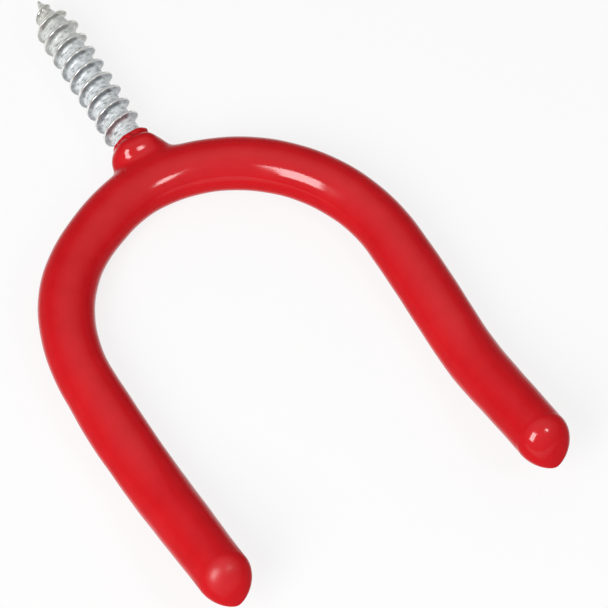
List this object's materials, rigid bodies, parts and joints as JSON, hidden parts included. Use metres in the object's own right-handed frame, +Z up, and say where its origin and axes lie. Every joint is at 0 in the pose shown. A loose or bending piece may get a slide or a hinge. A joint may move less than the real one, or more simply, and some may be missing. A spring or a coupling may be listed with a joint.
{
  "type": "garage utility hook",
  "caption": "Vinyl-dipped steel utility hook: a round bar bent into a wide U with upturned ends, and a welded lag screw that drives into a wall stud.",
  "frame": {"origin": "on the screw's axis, where the vinyl coat ends and the wall's face comes", "axes": "+Y along the screw into the wall, +Z up, arms reach out along -Y and turn up at their ends"},
  "size_m": [0.058, 0.1053, 0.0134],
  "materials": {
    "bare_steel": "plain drawn steel, covered by the coat",
    "zinc_plate": "bright blue-white zinc plating, frosted on the core",
    "red_vinyl": "glossy dipped vinyl"
  },
  "bodies": {
    "root": {"steel_bar": "bare_steel", "lag_screw": "zinc_plate", "weld_bead": "bare_steel", "vinyl_coat": "red_vinyl"}
  },
  "joints": []
}
